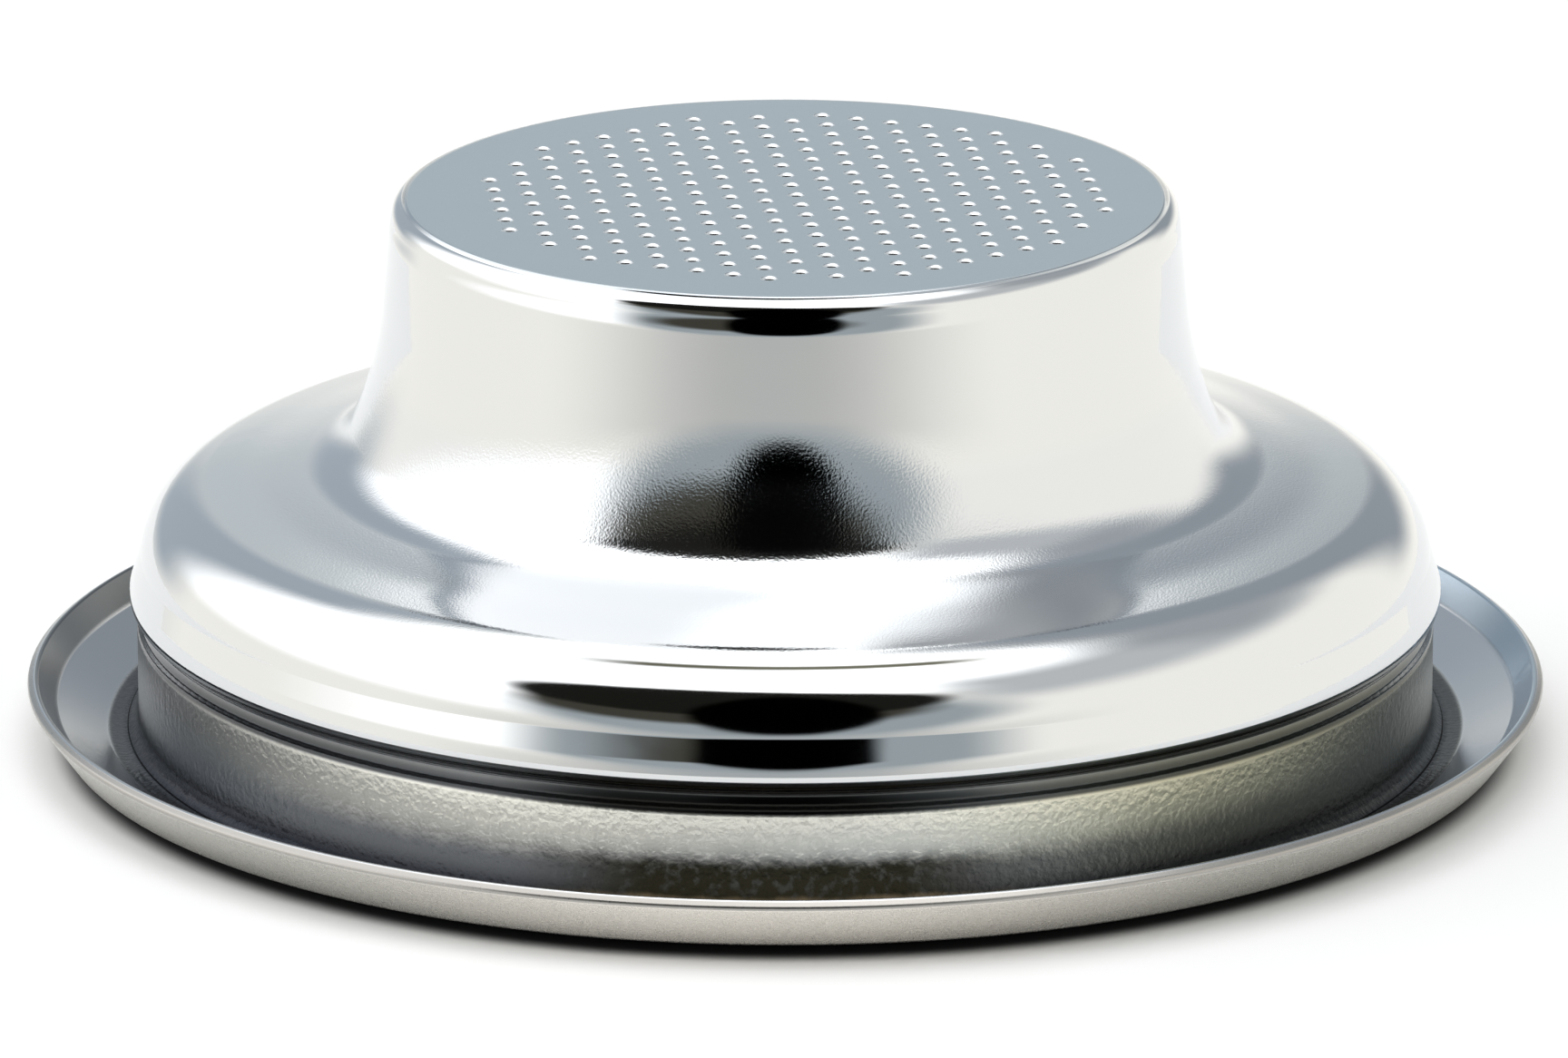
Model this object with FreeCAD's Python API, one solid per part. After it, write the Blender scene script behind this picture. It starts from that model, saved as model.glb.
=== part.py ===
import FreeCAD, Part
import math
import os

os.makedirs("parts", exist_ok=True)

# Espresso filter basket, drawn from one disc of stainless sheet.
# It stands upside down on its rim, with its perforated floor on top.
# Millimetres, +Z up. The origin is on the axis, in the plane that the rim rests on.

# Overall sizes
rim_diameter = 70.0
height = 25.5
floor_diameter = 34.34
sheet = 0.6

# Rim: a lip and a dished flange, which slopes down to the narrow flat ring that it rests on
lip_edge_rounding = 0.2
lip_lean = 36.0
lip_run = 1.35
lip_bend = 0.3
flange_slope = 27.0
flange_run = 2.48
foot_bend = 0.8
seat_run = 0.3

# Neck, with the ridge that a spring clip snaps over
neck_run = 3.85
neck_lean = 15.0
neck_bend = 0.1
groove_run = 0.76
groove_bend = 0.25
underside_lean = 60.0
underside_run = 0.14
crest_bend = 0.05
flank_lean = 17.5
flank_run = 1.6

# Chamber wall and the shoulder that closes it
crease_bend = 0.4
wall_lean = 8.0
wall_run = 0.04
ledge_bend = 3.26
shoulder_slope = 11.4

# Narrow cup, whose wall sweeps out of the shoulder and tapers towards the floor
root_bend = 3.17
sweep_bend = 15.76
sweep_turn = 20.6
cup_lean = 5.25
floor_bend = 0.29

# Holes in the floor: staggered rows, each a fine throat in the middle of a shallow dimple
hole_pitch = 1.75
dimple_diameter = 0.7
dimple_depth = 0.1
throat_diameter = 0.24
plain_margin = 2.55
pattern_turn = -7.35
pattern_shift_x = 0.5
pattern_shift_y = 0.1
cut_overrun = 0.1


def direction(heading):
    """Unit vector, as radius and height, of a heading in degrees."""
    angle = math.radians(heading)
    return math.cos(angle), math.sin(angle)


def bend_points(start, heading, turn, radius):
    """Middle and end of an arc that leaves start along heading and turns left by turn degrees."""
    side = math.copysign(90.0, turn)
    to_centre = direction(heading + side)
    centre = (start[0] + radius * to_centre[0], start[1] + radius * to_centre[1])
    points = []
    for part_of_turn in (0.5, 1.0):
        outward = direction(heading + turn * part_of_turn - side)
        points.append((centre[0] + radius * outward[0], centre[1] + radius * outward[1]))
    return points


class SheetSection:
    """Half section of the sheet as straight runs and bends, with both faces drawn side by side.

    The near face is on the path, and the far face lies one sheet thickness to its left.
    Each bend is given by its inside radius, whichever face that is on.
    """

    def __init__(self, start, heading):
        self.near = start
        self.heading = heading
        self.near_edges = []
        self.far_edges = []

    def far_of(self, point):
        left = direction(self.heading + 90.0)
        return point[0] + sheet * left[0], point[1] + sheet * left[1]

    def near_radius(self, turn, inside_radius):
        return inside_radius + sheet if turn > 0 else inside_radius

    def run(self, length):
        ahead = direction(self.heading)
        end = (self.near[0] + length * ahead[0], self.near[1] + length * ahead[1])
        self.near_edges.append(line(self.near, end))
        self.far_edges.append(line(self.far_of(self.near), self.far_of(end)))
        self.near = end

    def bend(self, turn, inside_radius):
        near_radius = self.near_radius(turn, inside_radius)
        far_radius = near_radius - math.copysign(sheet, turn)
        far_start = self.far_of(self.near)
        near_middle, near_end = bend_points(self.near, self.heading, turn, near_radius)
        far_middle, far_end = bend_points(far_start, self.heading, turn, far_radius)
        self.near_edges.append(arc(self.near, near_middle, near_end))
        self.far_edges.append(arc(far_start, far_middle, far_end))
        self.near = near_end
        self.heading += turn

    def bend_to(self, heading, inside_radius):
        self.bend(heading - self.heading, inside_radius)


def vector(point):
    """A point of the half section, in the XZ plane."""
    return FreeCAD.Vector(point[0], 0.0, point[1])


def line(start, end):
    return Part.LineSegment(vector(start), vector(end)).toShape()


def arc(start, middle, end):
    return Part.Arc(vector(start), vector(middle), vector(end)).toShape()


def draw_rim(section):
    """The lip, the flange that slopes down from it, and the flat ring that the basket rests on."""
    section.run(lip_run)
    section.bend_to(180.0 + flange_slope, lip_bend)
    section.run(flange_run)
    section.bend_to(180.0, foot_bend)
    section.run(seat_run)


def lip_start(rim_radius, heading):
    """Where the lip's inner face begins, just below the rounding of its edge."""
    trial = SheetSection((0.0, 0.0), heading)
    draw_rim(trial)
    outward = direction(heading + 90.0)[0]
    reach = sheet * outward + lip_edge_rounding * (1.0 - outward)
    return rim_radius - reach, sheet - trial.near[1]


def lip_edge(inner, outer, up):
    """Rounded end of the sheet, from the lip's outer face over its edge to its inner face."""
    outer_middle, outer_end = bend_points(outer, up, 90.0, lip_edge_rounding)
    inner_middle, inner_end = bend_points(inner, up, -90.0, lip_edge_rounding)
    return [
        arc(outer, outer_middle, outer_end),
        line(outer_end, inner_end),
        arc(inner_end, inner_middle, inner),
    ]


def runs_to_floor(section, floor_radius):
    """Lengths of the shoulder and the cup wall that bring the section to the edge of the floor."""
    shoulder_heading = section.heading
    cup_heading = 90.0 + cup_lean
    sweep_heading = cup_heading + sweep_turn
    floor_turn = 180.0 - cup_heading
    origin = (0.0, 0.0)
    root_step = bend_points(origin, shoulder_heading, sweep_heading - shoulder_heading, root_bend)[1]
    sweep_step = bend_points(origin, sweep_heading, -sweep_turn, sweep_bend)[1]
    floor_rounding = section.near_radius(floor_turn, floor_bend)
    floor_step = bend_points(origin, cup_heading, floor_turn, floor_rounding)[1]
    gap_r = floor_radius - section.near[0] - root_step[0] - sweep_step[0] - floor_step[0]
    gap_z = height - section.near[1] - root_step[1] - sweep_step[1] - floor_step[1]
    along_shoulder = direction(shoulder_heading)
    along_cup = direction(cup_heading)
    cross = along_shoulder[0] * along_cup[1] - along_shoulder[1] * along_cup[0]
    shoulder_run = (gap_r * along_cup[1] - gap_z * along_cup[0]) / cross
    cup_run = (along_shoulder[0] * gap_z - along_shoulder[1] * gap_r) / cross
    return shoulder_run, cup_run


def basket_shell():
    """The drawn sheet without its holes."""
    floor_radius = floor_diameter / 2.0

    # The near face starts at the lip, on the side that shows, and goes down the dished flange
    lip_heading = 270.0 - lip_lean
    inner = lip_start(rim_diameter / 2.0, lip_heading)
    section = SheetSection(inner, lip_heading)
    outer = section.far_of(inner)
    draw_rim(section)
    section.bend_to(90.0, foot_bend)

    # Up the neck, in under the ridge and out round its crest
    section.run(neck_run)
    section.bend_to(90.0 + neck_lean, neck_bend)
    section.run(groove_run)
    section.bend_to(90.0 - underside_lean, groove_bend)
    section.run(underside_run)
    section.bend_to(90.0 + flank_lean, crest_bend)
    section.run(flank_run)

    # Up the chamber wall and over the ledge
    section.bend_to(90.0 + wall_lean, crease_bend)
    section.run(wall_run)
    section.bend_to(180.0 - shoulder_slope, ledge_bend)

    # Shoulder and cup wall, each as long as it takes to reach the edge of the floor
    shoulder_run, cup_run = runs_to_floor(section, floor_radius)
    section.run(shoulder_run)
    section.bend_to(90.0 + cup_lean + sweep_turn, root_bend)
    section.bend_to(90.0 + cup_lean, sweep_bend)
    section.run(cup_run)
    section.bend_to(180.0, floor_bend)
    section.run(floor_radius)

    axis_edge = line((0.0, height), (0.0, height - sheet))
    edges = section.near_edges + [axis_edge] + section.far_edges[::-1]
    edges += lip_edge(inner, outer, lip_heading - 180.0)
    outline = Part.Wire(Part.__sortEdges__(edges))
    half = Part.Face(outline)
    return half.revolve(FreeCAD.Vector(0, 0, 0), FreeCAD.Vector(0, 0, 1), 360.0)


def hole_centres():
    """Staggered rows of centres inside the perforated circle."""
    pattern_radius = floor_diameter / 2.0 - plain_margin
    row_gap = hole_pitch * math.sin(math.radians(60.0))
    rows = math.ceil(pattern_radius / row_gap)
    per_row = math.ceil(pattern_radius / hole_pitch) + 1
    turn = math.radians(pattern_turn)
    centres = []
    for row in range(-rows, rows + 1):
        stagger = 0.5 * (row % 2)
        for place in range(-per_row, per_row + 1):
            across = row * row_gap
            along = (place + stagger) * hole_pitch
            if math.hypot(across, along) > pattern_radius:
                continue
            x = across * math.cos(turn) + along * math.sin(turn)
            y = along * math.cos(turn) - across * math.sin(turn)
            centres.append((x + pattern_shift_x, y + pattern_shift_y))
    return centres


def hole_tools():
    """A cutter for each hole: a cone for its dimple and a rod for its throat."""
    throat_radius = throat_diameter / 2.0
    dimple_radius = dimple_diameter / 2.0
    flare = (dimple_radius - throat_radius) / dimple_depth
    cone_end = dimple_radius + flare * cut_overrun
    cone_start = FreeCAD.Vector(0, 0, height - dimple_depth)
    rod_start = FreeCAD.Vector(0, 0, height - sheet - cut_overrun)
    cone = Part.makeCone(throat_radius, cone_end, dimple_depth + cut_overrun, cone_start)
    rod = Part.makeCylinder(throat_radius, sheet + cut_overrun, rod_start)
    cutter = cone.fuse(rod)
    return [cutter.translated(FreeCAD.Vector(x, y, 0)) for x, y in hole_centres()]


def filter_basket():
    """The finished basket, as the one solid that the cut leaves."""
    return basket_shell().cut(hole_tools()).Solids[0]


basket = filter_basket()
basket.exportStep("parts/filter_basket.step")

box = basket.optimalBoundingBox()
print("filter_basket solids", len(basket.Solids), "valid", basket.isValid(), "holes", len(hole_centres()))
print("box", round(box.XLength, 3), round(box.YLength, 3), round(box.ZLength, 3), "lowest", round(box.ZMin, 4))
print("volume", round(basket.Volume, 2))
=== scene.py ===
"""Looks of the espresso filter basket: one drawn sheet of stainless steel on a pale floor.

Lengths are in metres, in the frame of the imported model: +Z up, the origin on the axis
in the plane that the rim rests on. The camera looks along +Y and down.
"""

import math

import bpy
import numpy as np
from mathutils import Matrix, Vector
from mathutils.geometry import delaunay_2d_cdt


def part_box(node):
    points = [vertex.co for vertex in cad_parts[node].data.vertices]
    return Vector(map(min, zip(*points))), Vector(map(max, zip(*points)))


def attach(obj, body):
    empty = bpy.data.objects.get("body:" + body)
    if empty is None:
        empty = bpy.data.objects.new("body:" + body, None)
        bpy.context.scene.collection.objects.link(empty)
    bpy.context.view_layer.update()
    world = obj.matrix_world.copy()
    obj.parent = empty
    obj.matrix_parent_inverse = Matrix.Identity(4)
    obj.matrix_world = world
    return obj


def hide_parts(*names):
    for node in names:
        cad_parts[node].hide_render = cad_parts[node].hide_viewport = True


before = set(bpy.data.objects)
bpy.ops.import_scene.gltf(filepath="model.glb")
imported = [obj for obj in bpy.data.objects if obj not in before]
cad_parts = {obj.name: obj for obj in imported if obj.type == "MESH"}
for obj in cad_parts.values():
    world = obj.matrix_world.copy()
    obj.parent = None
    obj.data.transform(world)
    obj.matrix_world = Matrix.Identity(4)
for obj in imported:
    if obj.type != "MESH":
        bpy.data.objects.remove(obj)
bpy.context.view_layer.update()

NODE = "filter_basket"
MM = 0.001

# Overall sizes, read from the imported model
cad_low, cad_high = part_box(NODE)
RIM_RADIUS = (cad_high.x - cad_low.x) / 2
HEIGHT = cad_high.z

# The sheet's section, with the same named sizes as the solid's source
SHEET = 0.6 * MM
FLOOR_RADIUS = 17.17 * MM

LIP_EDGE_ROUNDING = 0.2 * MM
LIP_LEAN = 36.0
LIP_RUN = 1.35 * MM
LIP_BEND = 0.3 * MM
FLANGE_SLOPE = 27.0
FLANGE_RUN = 2.48 * MM
FOOT_BEND = 0.8 * MM
SEAT_RUN = 0.3 * MM

# The rim's lower corner, set lower than in the solid, as the photo has it. The underside that
# runs from it to the foot isn't seen there
HEM_SLOPE = 14.0
HEM_BEND = 0.4 * MM

NECK_RUN = 3.85 * MM
NECK_LEAN = 15.0
NECK_BEND = 0.1 * MM
GROOVE_RUN = 0.76 * MM
GROOVE_BEND = 0.25 * MM
UNDERSIDE_LEAN = 60.0
UNDERSIDE_RUN = 0.14 * MM
CREST_BEND = 0.05 * MM
FLANK_LEAN = 17.5
FLANK_RUN = 1.6 * MM

CREASE_BEND = 0.4 * MM
WALL_LEAN = 8.0
WALL_RUN = 0.04 * MM
LEDGE_BEND = 3.26 * MM
SHOULDER_SLOPE = 11.4

ROOT_BEND = 3.17 * MM
SWEEP_BEND = 15.76 * MM
SWEEP_TURN = 20.6
CUP_LEAN = 5.25
FLOOR_BEND = 0.29 * MM

# The holes. The dimples are a little wider and deeper here than in the solid, and the throats wider
HOLE_PITCH = 1.75 * MM
MOUTH_RADIUS = 0.42 * MM
THROAT_RADIUS = 0.14 * MM
DIMPLE_DEPTH = 0.12 * MM
PLAIN_MARGIN = 2.55 * MM
PATTERN_TURN = -7.35
PATTERN_SHIFT = (0.5 * MM, 0.1 * MM)

# How finely the mesh is cut
TURN_STEPS = 224
BEND_STEP = 6.0
ROUNDING_POINTS = 8
HOLE_STEPS = 16
DIMPLE_STEPS = 6

# With 16 steps round a hole, the triangles inside it have their middles within 0.95 of its radius,
# and the others lie beyond 0.98
INSIDE_SHARE = 0.96


def direction(heading):
    """Unit vector, as radius and height, of a heading in degrees."""
    angle = math.radians(heading)
    return np.array((math.cos(angle), math.sin(angle)))


def bend_end(start, heading, turn, radius):
    """Where an arc ends that leaves start along heading and turns left by turn degrees."""
    side = math.copysign(90.0, turn)
    centre = start + radius * direction(heading + side)
    return centre + radius * direction(heading + turn - side)


class SheetSection:
    """Half section of the sheet, sampled along both of its faces.

    The near face is on the path, and the far face lies one sheet thickness to its left.
    Each bend is given by its inside radius, whichever face that is on.
    """

    def __init__(self, start, heading):
        self.point = np.array(start, float)
        self.heading = heading
        self.points = [self.point]
        self.headings = [heading]

    def add(self, point, heading):
        self.point = point
        self.heading = heading
        self.points.append(point)
        self.headings.append(heading)

    def near_radius(self, turn, inside_radius):
        return inside_radius + SHEET if turn > 0 else inside_radius

    def run(self, length):
        self.add(self.point + length * direction(self.heading), self.heading)

    def bend(self, turn, inside_radius):
        radius = self.near_radius(turn, inside_radius)
        steps = max(1, math.ceil(abs(turn) / BEND_STEP))
        for _ in range(steps):
            step = turn / steps
            self.add(bend_end(self.point, self.heading, step, radius), self.heading + step)

    def bend_to(self, heading, inside_radius):
        self.bend(heading - self.heading, inside_radius)
        self.heading = heading
        self.headings[-1] = heading

    def near_face(self):
        """Points of the near face, each with its outward normal."""
        return [(p, direction(h - 90.0)) for p, h in zip(self.points, self.headings)]

    def far_face(self):
        """Points of the far face, each with its outward normal."""
        sides = [direction(h + 90.0) for h in self.headings]
        return [(p + SHEET * s, s) for p, s in zip(self.points, sides)]


def runs_to_floor(section):
    """Lengths of the shoulder and the cup wall that bring the section to the edge of the floor."""
    shoulder_heading = section.heading
    cup_heading = 90.0 + CUP_LEAN
    sweep_heading = cup_heading + SWEEP_TURN
    floor_turn = 180.0 - cup_heading
    origin = np.zeros(2)
    root_step = bend_end(origin, shoulder_heading, sweep_heading - shoulder_heading, ROOT_BEND)
    sweep_step = bend_end(origin, sweep_heading, -SWEEP_TURN, SWEEP_BEND)
    floor_rounding = section.near_radius(floor_turn, FLOOR_BEND)
    floor_step = bend_end(origin, cup_heading, floor_turn, floor_rounding)
    reached = section.point + root_step + sweep_step + floor_step
    gap = np.array((FLOOR_RADIUS, HEIGHT)) - reached
    along = np.column_stack((direction(shoulder_heading), direction(cup_heading)))
    return np.linalg.solve(along, gap)


def draw_rim(section):
    """The lip, the flange that slopes down from it, and the flat ring that the basket rests on."""
    section.run(LIP_RUN)
    section.bend_to(180.0 + FLANGE_SLOPE, LIP_BEND)
    section.run(FLANGE_RUN)
    section.bend_to(180.0, FOOT_BEND)
    section.run(SEAT_RUN)


def lip_start():
    """Where the lip's inner face begins, below the rounding of its edge."""
    heading = 270.0 - LIP_LEAN
    trial = SheetSection((0.0, 0.0), heading)
    draw_rim(trial)
    outward = direction(heading + 90.0)[0]
    reach = SHEET * outward + LIP_EDGE_ROUNDING * (1.0 - outward)
    return (RIM_RADIUS - reach, SHEET - trial.point[1])


def basket_section():
    """The whole section, from the lip to the edge of the floor."""
    section = SheetSection(lip_start(), 270.0 - LIP_LEAN)
    draw_rim(section)
    section.bend_to(90.0, FOOT_BEND)

    section.run(NECK_RUN)
    section.bend_to(90.0 + NECK_LEAN, NECK_BEND)
    section.run(GROOVE_RUN)
    section.bend_to(90.0 - UNDERSIDE_LEAN, GROOVE_BEND)
    section.run(UNDERSIDE_RUN)
    section.bend_to(90.0 + FLANK_LEAN, CREST_BEND)
    section.run(FLANK_RUN)

    section.bend_to(90.0 + WALL_LEAN, CREASE_BEND)
    section.run(WALL_RUN)
    section.bend_to(180.0 - SHOULDER_SLOPE, LEDGE_BEND)

    shoulder_run, cup_run = runs_to_floor(section)
    section.run(shoulder_run)
    section.bend_to(90.0 + CUP_LEAN + SWEEP_TURN, ROOT_BEND)
    section.bend_to(90.0 + CUP_LEAN, SWEEP_BEND)
    section.run(cup_run)
    section.bend_to(180.0, FLOOR_BEND)
    return section


def rim_underside(section):
    """The lip's outer face, its corner and the flange's underside, with how many points they replace."""
    outward = 360.0 - LIP_LEAN
    downward = 270.0 + HEM_SLOPE
    seat = section.headings.index(180.0)
    lip_top = section.points[0] + SHEET * direction(outward)
    foot = section.points[seat] + SHEET * direction(270.0)
    sides = np.array((direction(outward), direction(downward)))
    reach = np.array((sides[0] @ lip_top, sides[1] @ foot)) - HEM_BEND
    centre = np.linalg.solve(sides, reach)
    points = [(lip_top, sides[0])]
    for heading in np.linspace(outward, downward, ROUNDING_POINTS):
        points.append((centre + HEM_BEND * direction(heading), direction(heading)))
    points.append((foot, direction(270.0)))
    return points, seat + 1


def lip_edge(section):
    """The rounded end of the sheet, from the lip's outer face over its edge to its inner face."""
    heading = section.headings[0] + 180.0
    up = direction(heading)
    inward = direction(heading + 90.0)
    inner = section.points[0]
    outer = inner - SHEET * inward
    points = []
    for corner, first, last in ((outer, heading - 90.0, heading), (inner, heading, heading + 90.0)):
        centre = corner - LIP_EDGE_ROUNDING * direction(first if corner is outer else last)
        for normal_heading in np.linspace(first, last, ROUNDING_POINTS):
            normal = direction(normal_heading)
            points.append((centre + LIP_EDGE_ROUNDING * normal, normal))
    return points


def hole_centres():
    """Staggered rows of centres inside the perforated circle."""
    pattern_radius = FLOOR_RADIUS - PLAIN_MARGIN
    row_gap = HOLE_PITCH * math.sin(math.radians(60.0))
    rows = math.ceil(pattern_radius / row_gap)
    per_row = math.ceil(pattern_radius / HOLE_PITCH) + 1
    turn = math.radians(PATTERN_TURN)
    centres = []
    for row in range(-rows, rows + 1):
        stagger = 0.5 * (row % 2)
        for place in range(-per_row, per_row + 1):
            across = row * row_gap
            along = (place + stagger) * HOLE_PITCH
            if math.hypot(across, along) > pattern_radius:
                continue
            x = across * math.cos(turn) + along * math.sin(turn)
            y = along * math.cos(turn) - across * math.sin(turn)
            centres.append((x + PATTERN_SHIFT[0], y + PATTERN_SHIFT[1]))
    return np.array(centres)


class MeshMaker:
    """Collects rings and faces of one mesh, with a normal for every corner."""

    def __init__(self):
        self.points = []
        self.normals = []
        self.inside = []
        self.faces = []
        self.count = 0

    def ring(self, centre, radius, height, normal, steps, inside=0.0):
        """A circle of vertices about an upright line. normal is given as radial and up."""
        angles = 2 * math.pi * np.arange(steps) / steps
        cosine, sine = np.cos(angles), np.sin(angles)
        self.points.append(np.column_stack((
            centre[0] + radius * cosine, centre[1] + radius * sine, np.full(steps, height))))
        self.normals.append(np.column_stack((
            normal[0] * cosine, normal[0] * sine, np.full(steps, normal[1]))))
        self.inside += [inside] * steps
        first = self.count
        self.count += steps
        return first

    def band(self, first, second, steps):
        """Quads between two rings. Their outside is to the right of the way from first to second."""
        for i in range(steps):
            j = (i + 1) % steps
            self.faces.append((first + i, first + j, second + j, second + i))

    def plate(self, height, up, outer_radius, hole_radius, centres):
        """A flat disc with round holes. It returns the first vertex of each hole's own ring."""
        outline = self.ring((0, 0), outer_radius, height, (0, up), TURN_STEPS)
        hole_rings = [self.ring(c, hole_radius, height, (0, up), HOLE_STEPS) for c in centres]
        vertices = np.concatenate(self.points)[outline:, :2]
        edges = [(i, (i + 1) % TURN_STEPS) for i in range(TURN_STEPS)]
        for first in hole_rings:
            base = first - outline
            edges += [(base + i, base + (i + 1) % HOLE_STEPS) for i in range(HOLE_STEPS)]
        corners, _, triangles, sources, _, _ = delaunay_2d_cdt(
            [Vector(v) for v in vertices], edges, [], 0, 1e-9)
        corners = np.array(corners)
        triangles = np.array(triangles)
        middles = corners[triangles].mean(1)
        keep = np.ones(len(triangles), bool)
        for centre in centres:
            keep &= np.hypot(*(middles - centre).T) > hole_radius * INSIDE_SHARE
        own = [outline + s[0] for s in sources]
        for a, b, c in triangles[keep]:
            face = (own[a], own[b], own[c]) if up > 0 else (own[a], own[c], own[b])
            self.faces.append(face)
        return hole_rings

    def build(self, name):
        points = np.concatenate(self.points)
        normals = np.concatenate(self.normals)
        mesh = bpy.data.meshes.new(name)
        mesh.from_pydata(points.tolist(), [], self.faces)
        mark = mesh.attributes.new("inside", "FLOAT", "POINT")
        mark.data.foreach_set("value", self.inside)
        mesh.validate()
        mesh.polygons.foreach_set("use_smooth", np.ones(len(mesh.polygons), bool))
        mesh.normals_split_custom_set_from_vertices(normals.tolist())
        mesh.update()
        piece = bpy.data.objects.new(name, mesh)
        bpy.context.scene.collection.objects.link(piece)
        return piece


def dimple():
    """Rings of the smooth dimple round a hole, as radius, depth and normal, from its mouth inwards."""
    width = MOUTH_RADIUS - THROAT_RADIUS
    rings = []
    for share in np.linspace(0, 1, DIMPLE_STEPS + 1)[1:]:
        depth = DIMPLE_DEPTH * (1 - math.cos(math.pi * share)) / 2
        slope = math.atan(DIMPLE_DEPTH * math.pi * math.sin(math.pi * share) / (2 * width))
        rings.append((MOUTH_RADIUS - share * width, depth, (-math.sin(slope), math.cos(slope))))
    return rings


def basket_piece():
    """The basket as a finely cut mesh. It differs from the solid at the rim's corner and in the holes."""
    section = basket_section()
    near = section.near_face()
    underside, replaced = rim_underside(section)
    inner = section.far_face()[replaced:]
    outer = underside[::-1] + lip_edge(section) + near
    maker = MeshMaker()
    rings = [maker.ring((0, 0), p[0], p[1], n, TURN_STEPS, 1.0) for p, n in inner[::-1]]
    rings += [maker.ring((0, 0), p[0], p[1], n, TURN_STEPS) for p, n in outer]
    for first, second in zip(rings, rings[1:]):
        maker.band(first, second, TURN_STEPS)

    centres = hole_centres()
    flat_radius = near[-1][0][0]
    mouths = maker.plate(HEIGHT, 1, flat_radius, MOUTH_RADIUS, centres)
    throats = maker.plate(HEIGHT - SHEET, -1, flat_radius, THROAT_RADIUS, centres)
    wall_normal = (-1, 0)
    for centre, mouth in zip(centres, mouths):
        previous = mouth
        for radius, depth, normal in dimple():
            ring = maker.ring(centre, radius, HEIGHT - depth, normal, HOLE_STEPS)
            maker.band(previous, ring, HOLE_STEPS)
            previous = ring
        throat = maker.ring(centre, THROAT_RADIUS, HEIGHT - DIMPLE_DEPTH, wall_normal, HOLE_STEPS)
        end = maker.ring(centre, THROAT_RADIUS, HEIGHT - SHEET, wall_normal, HOLE_STEPS)
        maker.band(throat, end, HOLE_STEPS)
    return maker.build("drawn_basket")


class NodeMath:
    """Short calls for the sums that a node tree does."""

    def __init__(self, tree):
        self.tree = tree

    def node(self, kind, **settings):
        made = self.tree.nodes.new(kind)
        for name, value in settings.items():
            setattr(made, name, value)
        return made

    def join(self, source, socket):
        if isinstance(source, (int, float, tuple)):
            socket.default_value = source
        else:
            self.tree.links.new(source, socket)

    def math(self, operation, *values):
        made = self.node("ShaderNodeMath", operation=operation)
        for value, socket in zip(values, made.inputs):
            self.join(value, socket)
        return made.outputs[0]

    def times(self, first, second):
        return self.math("MULTIPLY", first, second)

    def add_part(self, height, form, share):
        """height with share times form added to it."""
        return self.math("ADD", height, self.times(form, share))

    def azimuth(self, x, y):
        """Degrees about the axis, 0 towards the camera and 90 to its right."""
        return self.math("DEGREES", self.math("ARCTAN2", x, self.times(y, -1.0)))

    def step(self, value, low, high):
        """Rises smoothly from 0 at low to 1 at high."""
        made = self.node("ShaderNodeMapRange", interpolation_type="SMOOTHSTEP")
        self.join(value, made.inputs["Value"])
        self.join(low, made.inputs["From Min"])
        self.join(high, made.inputs["From Max"])
        return made.outputs["Result"]

    def fall(self, value, low, high):
        """Falls smoothly from 1 at low to 0 at high."""
        return self.math("SUBTRACT", 1.0, self.step(value, low, high))

    def window(self, value, low, high, soft):
        """1 between low and high, falling smoothly to 0 over soft on each side."""
        rise = self.step(value, low - soft / 2, low + soft / 2)
        return self.times(rise, self.fall(value, high - soft / 2, high + soft / 2))

    def oval(self, x, y, centre, half_size, edge):
        """1 inside an oval, falling smoothly to 0 at its rim from a share edge of the way out."""
        across = self.math("DIVIDE", self.math("SUBTRACT", x, centre[0]), half_size[0])
        upward = self.math("DIVIDE", self.math("SUBTRACT", y, centre[1]), half_size[1])
        squares = self.math("ADD", self.times(across, across), self.times(upward, upward))
        return self.fall(self.math("SQRT", squares), edge, 1.0)

    def noise(self, place, per_mm, detail):
        """Even noise round 0.5, with about per_mm bumps to the millimetre."""
        made = self.node("ShaderNodeTexNoise")
        self.tree.links.new(place, made.inputs["Vector"])
        made.inputs["Scale"].default_value = per_mm
        made.inputs["Detail"].default_value = detail
        return made.outputs["Fac"]

    def mix(self, factor, first, second):
        made = self.node("ShaderNodeMix", data_type="RGBA")
        self.join(factor, made.inputs[0])
        self.join(first, made.inputs[6])
        self.join(second, made.inputs[7])
        return made.outputs[2]


class Finish:
    """Colour and roughness built up in layers."""

    def __init__(self, sums, colour, roughness):
        self.sums = sums
        self.colour = colour
        self.roughness = roughness

    def lay(self, cover, colour, roughness):
        self.colour = self.sums.mix(cover, self.colour, colour)
        blend = self.sums.node("ShaderNodeMix", data_type="FLOAT")
        self.sums.join(cover, blend.inputs[0])
        self.sums.join(self.roughness, blend.inputs[2])
        self.sums.join(roughness, blend.inputs[3])
        self.roughness = blend.outputs[0]

    def tint(self, cover, colour):
        made = self.sums.node("ShaderNodeMix", data_type="RGBA", blend_type="MULTIPLY")
        self.sums.join(cover, made.inputs[0])
        self.sums.join(self.colour, made.inputs[6])
        self.sums.join(colour, made.inputs[7])
        self.colour = made.outputs[2]


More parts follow.
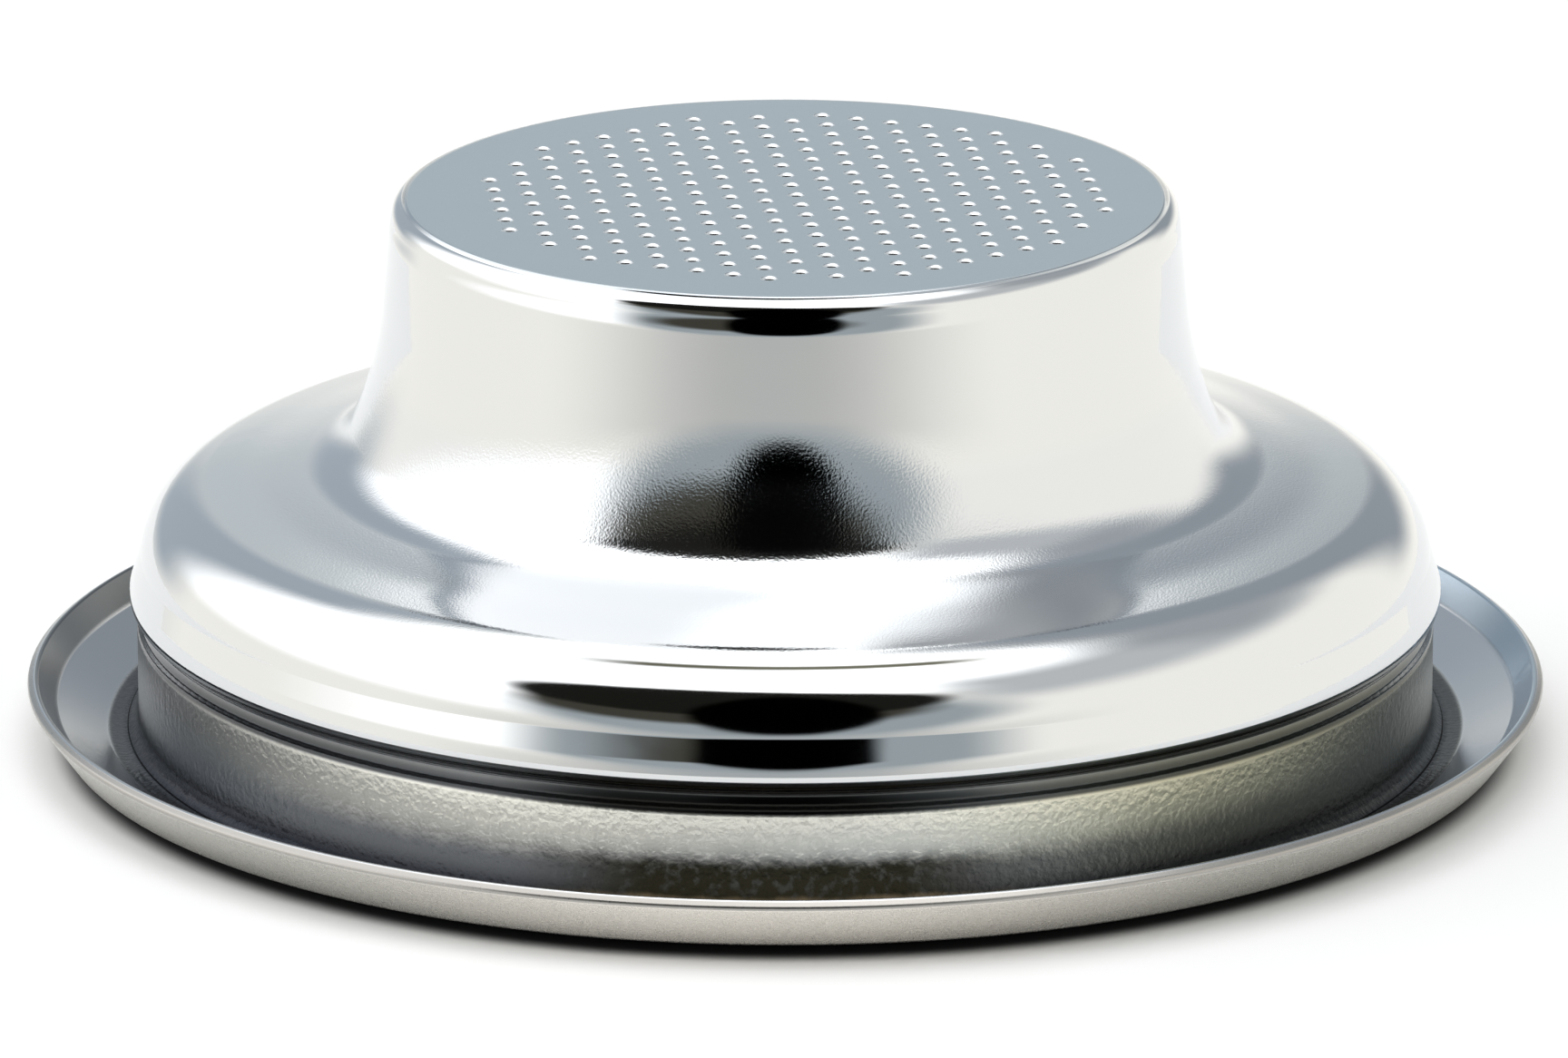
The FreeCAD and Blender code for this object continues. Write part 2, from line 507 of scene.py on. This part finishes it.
# Finishes of the sheet: colour and roughness
POLISHED = ((0.72, 0.73, 0.735, 1), 0.055)
SATIN_TOP = ((0.56, 0.60, 0.63, 1), 0.13)
SATIN_SHOULDER = ((0.70, 0.715, 0.73, 1), 0.11)
SATIN_FLANGE = ((0.60, 0.61, 0.625, 1), 0.18)
DULL_TROUGH = ((0.15, 0.155, 0.16, 1), 0.34)
# Painted shade in the groove
GROOVE_PAINTED_SHADE = ((0.085, 0.09, 0.095, 1), 0.16)
# Painted dark reflection on the front of the groove
GROOVE_FRONT_PAINTED_REFLECTION = ((0.018, 0.018, 0.016, 1), 0.20)
# Painted shade at the neck's foot
NECK_FOOT_PAINTED_SHADE = ((0.022, 0.024, 0.032, 1), 0.32)
# Painted reflection: a bright band on the front of the neck
NECK_FRONT_PAINTED_REFLECTION = ((0.97, 0.95, 0.86, 1), 0.36)
# A darker mottled patch on the front of the neck
NECK_FRONT_DARK_MOTTLE = ((0.020, 0.018, 0.010, 1), 0.30)
# A tan band at the front of the neck's foot
NECK_FRONT_TAN = ((0.22, 0.165, 0.10, 1), 0.34)
# Painted reflections on the lip's inner face: dark on the left, blue-grey on the right
LIP_INSIDE_LEFT_PAINTED_REFLECTION = ((0.16, 0.17, 0.18, 1), 0.20)
LIP_INSIDE_RIGHT_PAINTED_REFLECTION = ((0.40, 0.47, 0.53, 1), 0.20)
LIP_EDGE = ((0.40, 0.385, 0.36, 1), 0.30)
LIP_OUTSIDE = ((0.60, 0.59, 0.55, 1), 0.28)
# Painted reflection: the lip's outer face lighter at the front
LIP_FRONT_PAINTED_REFLECTION = ((0.92, 0.88, 0.82, 1), 0.28)
# Painted shade under the flange
UNDERSIDE_PAINTED_SHADE = ((0.035, 0.035, 0.035, 1), 0.35)
DIMPLE_WALL = ((0.97, 0.98, 0.98, 1), 0.42)
# Painted shade in the hole throats
HOLE_THROAT_PAINTED_SHADE = ((0.03, 0.03, 0.03, 1), 0.40)
# Painted dark reflection: a thin line on the front of the ledge
LEDGE_LINE_PAINTED_REFLECTION = ((0.07, 0.068, 0.05, 1), 0.20)
INSIDE = ((0.66, 0.665, 0.67, 1), 0.30)
# Painted reflection: an olive tint
OLIVE_PAINTED_REFLECTION = (0.80, 0.78, 0.62, 1)


class SteelPlaces:
    """Where a point of the sheet lies, in millimetres and degrees, as values for the zones."""

    def __init__(self, sums):
        self.sums = sums
        place = sums.node("ShaderNodeTexCoord").outputs["Object"]
        scaled = sums.node("ShaderNodeVectorMath", operation="SCALE")
        sums.tree.links.new(place, scaled.inputs[0])
        scaled.inputs["Scale"].default_value = 1 / MM
        self.mm = scaled.outputs["Vector"]
        split = sums.node("ShaderNodeSeparateXYZ")
        sums.tree.links.new(self.mm, split.inputs[0])
        x, y, self.z = split.outputs
        self.radius = sums.math("SQRT", sums.math("ADD", sums.times(x, x), sums.times(y, y)))
        self.azimuth = sums.azimuth(x, y)

    def along_lip(self):
        """Distance up the lip's own line."""
        return self.turned(math.radians(90.0 - LIP_LEAN), 1.0)

    def across_lip(self):
        """Distance square to the lip's own line, growing from its inner to its outer face."""
        return self.turned(math.radians(LIP_LEAN), -1.0)

    def above_flange(self):
        """Distance square to the flange, growing from its underside to its upper face."""
        slope = math.radians(FLANGE_SLOPE)
        upward = self.sums.times(self.z, math.cos(slope))
        return self.sums.math("SUBTRACT", upward, self.sums.times(self.radius, math.sin(slope)))

    def turned(self, angle, sign):
        outward = self.sums.times(self.radius, math.cos(angle))
        upward = self.sums.times(self.z, math.sin(angle))
        return self.sums.math("ADD" if sign > 0 else "SUBTRACT", outward, upward)


def lay_satin(sums, places, finish):
    """Satin floor and shoulder. It returns how far each of them reaches."""
    top = sums.step(places.z, 25.38, 25.46)
    root = sums.window(places.z, 12.0, 17.5, 1.2)
    shoulder = sums.times(root, sums.fall(places.radius, 26.9, 27.6))
    finish.lay(shoulder, *SATIN_SHOULDER)
    finish.lay(top, *SATIN_TOP)
    return top, shoulder


def lay_holes(sums, places, finish):
    """Bright walls of the dimples, and painted shade in the dark throats below them."""
    holes = sums.times(sums.step(places.z, 24.7, 24.8), sums.fall(places.radius, 15.5, 15.6))
    finish.lay(sums.times(holes, sums.fall(places.z, 25.47, 25.49)), *DIMPLE_WALL)
    # Painted shade in the throats
    finish.lay(sums.times(holes, sums.fall(places.z, 25.40, 25.41)), *HOLE_THROAT_PAINTED_SHADE)


def lay_ledge_line_reflection(sums, places, finish):
    """A painted dark reflection: a thin line on the front of the ledge."""
    ring = sums.window(places.radius, 27.92, 28.10, 0.12)
    finish.lay(sums.times(ring, sums.window(places.azimuth, -17.0, 18.0, 10.0)), *LEDGE_LINE_PAINTED_REFLECTION)


def right_side(sums, places, low, high):
    """Rises from low to high degrees on the right, and is gone again before the back."""
    return sums.times(sums.step(places.azimuth, low, high), sums.fall(places.azimuth, 120.0, 175.0))


def lay_rim(sums, places, finish):
    """Flange and lip, with painted reflections on the lip and painted shade on the rim's underside. It
    returns how far the flange and the lip reach.
    """
    start = np.array(lip_start()) / MM
    lean = math.radians(LIP_LEAN)
    slope = math.radians(FLANGE_SLOPE)
    inner_face = start[0] * math.cos(lean) - start[1] * math.sin(lean)
    top_end = start[0] * math.sin(lean) + start[1] * math.cos(lean)
    corner = start - LIP_RUN / MM * np.array((math.sin(lean), math.cos(lean)))
    top_face = corner[1] * math.cos(slope) - corner[0] * math.sin(slope)
    across = places.across_lip()

    low = sums.fall(places.z, 3.1, 3.4)
    flange = sums.times(low, sums.step(places.radius, 31.05, 31.5))
    finish.lay(flange, *SATIN_FLANGE)

    # Painted reflections on the lip's inner face: dark on the left, blue-grey on the right
    skin = sums.window(across, inner_face - 0.05, inner_face + 0.10, 0.06)
    lip_inside = sums.times(skin, sums.times(low, sums.step(places.z, 1.85, 2.05)))
    finish.lay(lip_inside, *LIP_INSIDE_LEFT_PAINTED_REFLECTION)
    finish.lay(sums.times(lip_inside, right_side(sums, places, -20.0, 30.0)), *LIP_INSIDE_RIGHT_PAINTED_REFLECTION)

    outside = sums.times(flange, sums.step(across, inner_face + 0.15, inner_face + 0.35))
    finish.lay(outside, *LIP_OUTSIDE)
    # Painted reflection: the lip's outer face lighter at the front
    finish.lay(sums.times(outside, sums.window(places.azimuth, -24.0, 22.0, 44.0)), *LIP_FRONT_PAINTED_REFLECTION)

    end = sums.times(low, sums.step(places.along_lip(), top_end + 0.02, top_end + 0.10))
    finish.lay(sums.times(end, sums.step(across, inner_face + 0.17, inner_face + 0.24)), *LIP_EDGE)

    # Painted shade: the flange's underside near black towards the foot
    beneath = sums.fall(places.above_flange(), top_face - 0.45, top_face - 0.3)
    inward = sums.times(flange, sums.fall(across, inner_face + 0.40, inner_face + 0.56))
    finish.lay(sums.times(beneath, inward), *UNDERSIDE_PAINTED_SHADE)
    return flange


def lay_trough(sums, places, finish):
    """Groove and dull neck, with painted shade in the groove and at the neck's foot, painted reflections
    on the front and the right side, and a darker mottled patch and a tan band at the front. It returns
    the neck.
    """
    azimuth = places.azimuth
    ring = sums.window(places.radius, 29.6, 31.25, 0.3)
    trough = sums.times(sums.fall(places.z, 6.9, 7.05), ring)
    neck = sums.times(trough, sums.fall(places.z, 5.3, 5.5))
    # Painted shade: the groove darkened all round
    finish.lay(trough, *GROOVE_PAINTED_SHADE)
    # Painted dark reflection, near black, on the front of the groove only
    finish.lay(sums.times(trough, sums.window(azimuth, -21.0, 14.0, 16.0)), *GROOVE_FRONT_PAINTED_REFLECTION)
    finish.lay(neck, *DULL_TROUGH)
    # Painted shade: the neck darker towards its foot, in the corner with the flange
    finish.lay(sums.times(neck, sums.fall(places.z, 0.9, 2.6)), *NECK_FOOT_PAINTED_SHADE)

    mottle = sums.noise(places.mm, 0.9, 4)
    waver = sums.times(sums.math("SUBTRACT", mottle, 0.5), 0.5)
    height = sums.math("ADD", places.z, waver)
    # Painted reflection: a bright band on the front of the neck, its lower edge wavering
    front = sums.times(neck, sums.window(azimuth, -46.0, 40.0, 56.0))
    finish.lay(sums.times(front, sums.step(height, 2.5, 4.3)), *NECK_FRONT_PAINTED_REFLECTION)

    # A darker mottled patch on the front of the neck, below the bright band
    dark_mottled = sums.times(neck, sums.window(azimuth, -19.0, 17.0, 16.0))
    blots = sums.step(sums.noise(places.mm, 2.2, 3), 0.30, 0.52)
    dark_mottled = sums.times(dark_mottled, sums.fall(height, 2.9, 3.7))
    finish.lay(sums.times(dark_mottled, sums.math("MULTIPLY_ADD", blots, 0.2, 0.78)), *NECK_FRONT_DARK_MOTTLE)
    # A tan band at the front of the neck's foot
    tan_front = sums.times(neck, sums.window(azimuth, -17.0, 16.0, 12.0))
    finish.lay(sums.times(tan_front, sums.fall(height, 1.2, 1.7)), *NECK_FRONT_TAN)
    # Painted reflection: an olive tint on the right side of the groove and neck
    finish.tint(sums.times(trough, right_side(sums, places, 5.0, 40.0)), OLIVE_PAINTED_REFLECTION)
    return neck


def relief(sums, places, fine, satin, neck):
    """Height of the surface in millimetres: grain, pebbles, waviness and a few soft forms."""
    grain = sums.times(sums.noise(places.mm, 9.0, 1), sums.window(places.z, 12.0, 19.0, 2.4))
    hollow = sums.window(places.radius, 23.7, 25.5, 3.4)
    roll = sums.times(sums.step(places.z, 23.85, 24.9), sums.step(places.radius, 17.3, 17.6))
    crest = sums.times(sums.fall(places.z, 6.8, 7.85), sums.window(places.radius, 29.8, 30.4, 0.1))
    height = sums.times(fine, sums.times(satin, 0.0028))
    height = sums.add_part(height, sums.times(sums.noise(places.mm, 3.2, 2), neck), 0.045)
    height = sums.add_part(height, sums.noise(places.mm, 0.22, 2), 0.012)
    height = sums.add_part(height, grain, 0.006)
    height = sums.add_part(height, hollow, -0.075)
    height = sums.add_part(height, roll, -0.17)
    return sums.add_part(height, crest, -0.12)


def steel_material():
    """Stainless sheet whose finish changes with the place on the section.

    The zones follow the tones that the photo shows. Several of them are painted light: painted shade in
    the groove, at the neck's foot, in the hole throats and under the rim, and painted reflections on the
    groove front, the neck front, the lip, the ledge line and the olive tint.
    """
    material = bpy.data.materials.new("stainless_sheet")
    material.use_nodes = True
    tree = material.node_tree
    sums = NodeMath(tree)
    shader = tree.nodes["Principled BSDF"]
    shader.inputs["Metallic"].default_value = 1.0
    places = SteelPlaces(sums)
    finish = Finish(sums, *POLISHED)

    top, shoulder = lay_satin(sums, places, finish)
    lay_holes(sums, places, finish)
    lay_ledge_line_reflection(sums, places, finish)
    flange = lay_rim(sums, places, finish)
    neck = lay_trough(sums, places, finish)
    inside = sums.node("ShaderNodeAttribute", attribute_name="inside").outputs["Fac"]
    finish.lay(inside, *INSIDE)

    fine = sums.noise(places.mm, 11.0, 2)
    uneven = sums.math("MULTIPLY_ADD", fine, 0.5, 0.75)
    tree.links.new(finish.colour, shader.inputs["Base Color"])
    tree.links.new(sums.times(finish.roughness, uneven), shader.inputs["Roughness"])

    satin = sums.math("ADD", sums.times(top, 0.5), sums.math("ADD", shoulder, flange))
    bump = sums.node("ShaderNodeBump")
    bump.inputs["Distance"].default_value = MM
    tree.links.new(relief(sums, places, fine, satin, neck), bump.inputs["Height"])
    tree.links.new(bump.outputs["Normal"], shader.inputs["Normal"])
    return material


# What surrounds the basket: soft patches, placed to give the reflections in the photo,
# each laid over the ones before it.
# Azimuth is 0 towards the camera and 90 to its right, and elevation is up from the floor.
# Each patch: azimuth from, to and softness; elevation from, to and softness; colour
HORIZON = (1.15, 1.13, 1.07, 1)
PATCHES = {
    "overhead": (-400, 400, 10, 50, 100, 12, (2.3, 2.3, 2.3, 1)),
    "left_light": (-150, -42, 34, 10, 100, 12, (1.75, 1.76, 1.78, 1)),
    "right_grey": (36, 172, 34, 33, 63, 18, (0.62, 0.64, 0.66, 1)),
    "right_dark": (104, 168, 30, 36, 60, 16, (0.42, 0.45, 0.48, 1)),
    "back_right": (143, 174, 18, 4, 56, 14, (0.34, 0.38, 0.42, 1)),
    "back_left": (188, 222, 22, -4, 49, 14, (0.44, 0.50, 0.56, 1)),
    "back_wall": (172, 190, 12, 10, 37, 6, (0.55, 0.62, 0.66, 1)),
    "back_light": (173, 188, 6, 28, 62, 8, (1.75, 1.75, 1.75, 1)),
    "halo_low": (-44, 36, 60, -30, 4, 14, (0.62, 0.62, 0.60, 1)),
}

# Each oval: azimuth and elevation of its centre; half width and half height;
# where its edge starts; colour
OVALS = {
    "right_wedge": (172.5, 43, 6.5, 7.0, 0.3, (0.02, 0.022, 0.03, 1)),
    "left_streak": (189.5, 41.5, 6.0, 7.0, 0.3, (0.05, 0.06, 0.07, 1)),
    "halo": (-4, 23, 54, 31, 0.66, (0.40, 0.45, 0.48, 1)),
    "stand": (-1, 12, 16, 14, 0.3, (0.06, 0.06, 0.055, 1)),
    "wings": (-12, 34, 46, 23, 0.74, (0.06, 0.057, 0.045, 1)),
    "wings_edge": (-12, 43, 50, 18, 0.84, (0.012, 0.012, 0.010, 1)),
    "camera": (0, 28, 20, 28, 0.8, (0.0, 0.0, 0.0, 1)),
}


def studio_light():
    """A world made of soft patches of light."""
    world = bpy.data.worlds.new("studio")
    world.use_nodes = True
    tree = world.node_tree
    sums = NodeMath(tree)
    way = sums.node("ShaderNodeSeparateXYZ")
    tree.links.new(sums.node("ShaderNodeTexCoord").outputs["Generated"], way.inputs[0])
    x, y, z = way.outputs
    azimuth = sums.azimuth(x, y)
    # The same from 0 to 360 degrees, so that a patch can lie across the back
    behind = sums.math("ADD", azimuth, sums.times(sums.math("LESS_THAN", azimuth, 0.0), 360.0))
    elevation = sums.math("DEGREES", sums.math("ARCSINE", z))
    colour = HORIZON
    for start, end, soft, low, high, rise, patch in PATCHES.values():
        turn = behind if end > 100 and start > 0 else azimuth
        over = sums.times(sums.window(turn, start, end, soft), sums.window(elevation, low, high, rise))
        colour = sums.mix(over, colour, patch)
    for middle, height, wide, high, edge, patch in OVALS.values():
        turn = behind if middle > 100 else azimuth
        over = sums.oval(turn, elevation, (middle, height), (wide, high), edge)
        colour = sums.mix(over, colour, patch)
    background = tree.nodes["Background"]
    tree.links.new(colour, background.inputs["Color"])
    bpy.context.scene.world = world


# The paper: its edges, and the circle inside which a contact shadow is painted on it
PAPER_SIDE = 90.0 * MM
PAPER_FRONT = -90.0 * MM
PAPER_BACK = 160.0 * MM
PAINTED_SHADOW_RADIUS = 32.6 * MM
WHITE_RADIUS = 34.2 * MM
PAPER_WHITE = (0.93, 0.93, 0.925, 1)
PAPER_PAINTED_SHADOW = (0.06, 0.06, 0.06, 1)


def floor():
    """A sheet of white paper with a contact shadow painted under the rim, which ends in front of the
    basket.
    """
    paper = bpy.data.materials.new("floor_paper")
    paper.use_nodes = True
    shader = paper.node_tree.nodes["Principled BSDF"]
    sums = NodeMath(paper.node_tree)
    place = sums.node("ShaderNodeTexCoord").outputs["Object"]
    distance = sums.node("ShaderNodeVectorMath", operation="LENGTH")
    paper.node_tree.links.new(place, distance.inputs[0])
    # Painted contact shadow, fading to white beyond the rim
    clear = sums.step(distance.outputs["Value"], PAINTED_SHADOW_RADIUS, WHITE_RADIUS)
    colour = sums.mix(clear, PAPER_PAINTED_SHADOW, PAPER_WHITE)
    paper.node_tree.links.new(colour, shader.inputs["Base Color"])
    shader.inputs["Roughness"].default_value = 0.9
    shader.inputs["Specular IOR Level"].default_value = 0.2
    mesh = bpy.data.meshes.new("floor")
    corners = [(x, PAPER_FRONT, 0) for x in (-PAPER_SIDE, PAPER_SIDE)]
    corners += [(x, PAPER_BACK, 0) for x in (PAPER_SIDE, -PAPER_SIDE)]
    mesh.from_pydata(corners, [], [(0, 1, 2, 3)])
    mesh.materials.append(paper)
    sheet = bpy.data.objects.new("floor", mesh)
    bpy.context.scene.collection.objects.link(sheet)


# The camera in millimetres, as fitted to the photo with the basket's height held at 25.5
SENSOR = 36.0
LENS = 277.969
CAMERA_PLACE = (-0.06, -534.663, 170.086)
CAMERA_AIM = (-0.06, 0.0, 9.558)


def camera():
    """The photo's view."""
    data = bpy.data.cameras.new("view")
    data.sensor_width = SENSOR
    data.lens = LENS
    eye = Vector(CAMERA_PLACE) * MM
    aim = Vector(CAMERA_AIM) * MM
    viewer = bpy.data.objects.new("view", data)
    viewer.location = eye
    viewer.rotation_euler = (aim - eye).to_track_quat("-Z", "Y").to_euler()
    bpy.context.scene.collection.objects.link(viewer)
    bpy.context.scene.camera = viewer


basket = basket_piece()
basket.data.materials.append(steel_material())
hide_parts(NODE)
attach(basket, "root")
floor()
studio_light()
camera()
bpy.context.scene.view_settings.view_transform = "Standard"
